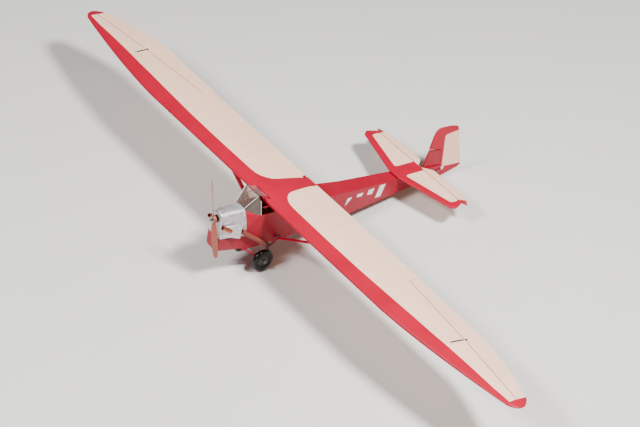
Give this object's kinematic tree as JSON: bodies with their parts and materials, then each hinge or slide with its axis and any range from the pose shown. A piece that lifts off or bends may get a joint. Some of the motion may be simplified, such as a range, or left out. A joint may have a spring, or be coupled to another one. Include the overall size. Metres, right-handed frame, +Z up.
{
  "type": "radio controlled motor glider",
  "caption": "High-wing powered model glider with a strut-braced wing, hinged ailerons, elevator and rudder, and V-leg main wheels.",
  "frame": {"origin": "centre of the footprint, on the floor that the two wheels and the tail skid stand on", "axes": "+X to the left wing tip, -Y forward out of the nose, +Z up"},
  "size_m": [2.26, 1.0236, 0.3541],
  "materials": {
    "red_covering": "satin red covering film and paint over wood",
    "red_leg": "semi-gloss red paint on steel wire",
    "rib_wood": "sanded balsa and plywood",
    "spar_wood": "sanded spruce",
    "cowl_aluminium": "worn silver paint on thin aluminium",
    "copper_stub": "tarnished copper tube",
    "rust_pipe": "matt brown-red paint on steel tube",
    "steel_wire": "drawn steel wire",
    "motor_winding": "varnished copper winding on laminated steel",
    "motor_steel": "black oxide steel",
    "circuit_board": "heat-shrunk circuit board",
    "battery_wrap": "shrink-wrapped cells",
    "black_plastic": "moulded nylon",
    "white_nylon": "moulded nylon",
    "red_nylon": "red-dyed moulded nylon",
    "clear_sheet": "clear plastic sheet",
    "frame_tape": "pale sheet trim",
    "panel_black": "matt black paint on plywood",
    "seat_leather": "brown leathercloth",
    "cream_fabric": "cream covering fabric over ribs",
    "prop_wood": "varnished beech",
    "tyre_rubber": "moulded rubber",
    "hub_grey": "grey moulded nylon"
  },
  "bodies": {
    "airframe": {"fuselage_shell": "red_covering", "nose_pan": "red_covering", "firewall": "rib_wood", "cowl": "cowl_aluminium", "cylinder_fairings": "cowl_aluminium", "exhaust_stubs": "copper_stub", "exhaust_pipes": "rust_pipe", "motor_mount": "steel_wire", "motor_stator": "motor_winding", "speed_controller": "circuit_board", "battery": "battery_wrap", "equipment_tray": "rib_wood", "receiver": "black_plastic", "tail_servos": "black_plastic", "glazing": "clear_sheet", "glazing_frame": "frame_tape", "instrument_panel": "panel_black", "seat": "seat_leather", "cabin_bulkhead": "rib_wood", "strut_brackets": "steel_wire", "undercarriage": "red_leg", "axle": "steel_wire", "wheel_collars": "steel_wire", "tail_skid": "steel_wire", "fin": "red_covering", "tailplane": "cream_fabric", "wing_ribs": "rib_wood", "wing_spars": "spar_wood", "left_wing_cover": "cream_fabric", "right_wing_cover": "cream_fabric", "wing_tips": "red_covering", "wing_trailing_edges": "rib_wood", "wing_joiner": "steel_wire", "wing_bolts": "red_nylon", "wing_struts": "red_covering", "aileron_servos": "black_plastic", "control_hinges": "steel_wire"},
    "propeller": {"propeller": "prop_wood", "prop_nut": "steel_wire", "motor_can": "motor_steel"},
    "left_wheel": {"left_tyre": "tyre_rubber", "left_hub": "hub_grey"},
    "right_wheel": {"right_tyre": "tyre_rubber", "right_hub": "hub_grey"},
    "left_aileron": {"left_aileron": "cream_fabric", "left_aileron_horn": "black_plastic"},
    "right_aileron": {"right_aileron": "cream_fabric", "right_aileron_horn": "black_plastic"},
    "elevator": {"elevator": "cream_fabric", "elevator_horn": "black_plastic"},
    "rudder": {"rudder": "red_covering", "rudder_horn": "white_nylon"},
    "left_servo_arm": {"left_servo_arm": "white_nylon"},
    "right_servo_arm": {"right_servo_arm": "white_nylon"},
    "elevator_servo_arm": {"elevator_servo_arm": "white_nylon"},
    "rudder_servo_arm": {"rudder_servo_arm": "white_nylon"},
    "left_aileron_pushrod": {"left_aileron_pushrod": "steel_wire"},
    "right_aileron_pushrod": {"right_aileron_pushrod": "steel_wire"},
    "elevator_pushrod": {"elevator_pushrod": "steel_wire"},
    "rudder_pushrod": {"rudder_pushrod": "steel_wire"}
  },
  "joints": [
    {"name": "prop_spin", "type": "hinge", "parent": "airframe", "child": "propeller", "pos_m": [0, -0.4924, 0.23254], "axis": [0, 0.9897, -0.1429], "continuous": true},
    {"name": "left_wheel_spin", "type": "hinge", "parent": "airframe", "child": "left_wheel", "pos_m": [0.058, -0.3415, 0.039], "axis": [1, 0, 0], "continuous": true},
    {"name": "right_wheel_spin", "type": "hinge", "parent": "airframe", "child": "right_wheel", "pos_m": [-0.058, -0.3415, 0.039], "axis": [1, 0, 0], "continuous": true},
    {"name": "left_aileron_hinge", "type": "hinge", "parent": "airframe", "child": "left_aileron", "pos_m": [0.837, -0.1892, 0.22858], "axis": [0.9941, -0.1073, 0.0148], "range_deg": [-15, 25]},
    {"name": "right_aileron_hinge", "type": "hinge", "parent": "airframe", "child": "right_aileron", "pos_m": [-0.837, -0.1892, 0.22858], "axis": [0.9941, 0.1073, -0.0148], "range_deg": [-25, 15]},
    {"name": "left_servo_turn", "type": "hinge", "parent": "airframe", "child": "left_servo_arm", "pos_m": [0.83202, -0.23446, 0.23511], "axis": [0.9941, -0.1073, 0.0148], "range_deg": [-15, 25]},
    {"name": "right_servo_turn", "type": "hinge", "parent": "airframe", "child": "right_servo_arm", "pos_m": [-0.83202, -0.23446, 0.23511], "axis": [0.9941, 0.1073, -0.0148], "range_deg": [-25, 15]},
    {"name": "left_aileron_rod_pin", "type": "hinge", "parent": "left_servo_arm", "child": "left_aileron_pushrod", "pos_m": [0.83214, -0.23173, 0.24679], "axis": [0.9941, -0.1073, 0.0148], "range_deg": [-25, 15]},
    {"name": "right_aileron_rod_pin", "type": "hinge", "parent": "right_servo_arm", "child": "right_aileron_pushrod", "pos_m": [-0.83191, -0.23379, 0.24709], "axis": [0.9941, 0.1073, -0.0148], "range_deg": [-15, 25]},
    {"name": "elevator_hinge", "type": "hinge", "parent": "airframe", "child": "elevator", "pos_m": [0, 0.3306, 0.08243], "axis": [1, 0, 0], "range_deg": [-11, 29]},
    {"name": "elevator_servo_turn", "type": "hinge", "parent": "airframe", "child": "elevator_servo_arm", "pos_m": [0, -0.20188, 0.15929], "axis": [1, 0, 0], "range_deg": [-11, 29]},
    {"name": "elevator_rod_pin", "type": "hinge", "parent": "elevator_servo_arm", "child": "elevator_pushrod", "pos_m": [0, -0.20543, 0.14783], "axis": [1, 0, 0], "range_deg": [-29, 11]},
    {"name": "rudder_hinge", "type": "hinge", "parent": "airframe", "child": "rudder", "pos_m": [0, 0.42056, 0.04156], "axis": [0, -0.0436, 0.999], "range_deg": [-25, 25]},
    {"name": "rudder_servo_turn", "type": "hinge", "parent": "airframe", "child": "rudder_servo_arm", "pos_m": [0, 0.29867, 0.03624], "axis": [0, -0.0436, 0.999], "range_deg": [-25, 25]},
    {"name": "rudder_rod_pin", "type": "hinge", "parent": "rudder_servo_arm", "child": "rudder_pushrod", "pos_m": [0.012, 0.29867, 0.03624], "axis": [0, -0.0436, 0.999], "range_deg": [-25, 25]}
  ],
  "couplings": [
    {"joint": "right_aileron_hinge", "follows": "left_aileron_hinge", "ratio": -1},
    {"joint": "left_servo_turn", "follows": "left_aileron_hinge", "ratio": 1},
    {"joint": "right_servo_turn", "follows": "left_aileron_hinge", "ratio": -1},
    {"joint": "left_aileron_rod_pin", "follows": "left_aileron_hinge", "ratio": -1},
    {"joint": "right_aileron_rod_pin", "follows": "left_aileron_hinge", "ratio": 1},
    {"joint": "elevator_servo_turn", "follows": "elevator_hinge", "ratio": 1},
    {"joint": "elevator_rod_pin", "follows": "elevator_hinge", "ratio": -1},
    {"joint": "rudder_servo_turn", "follows": "rudder_hinge", "ratio": 1},
    {"joint": "rudder_rod_pin", "follows": "rudder_hinge", "ratio": -1}
  ]
}
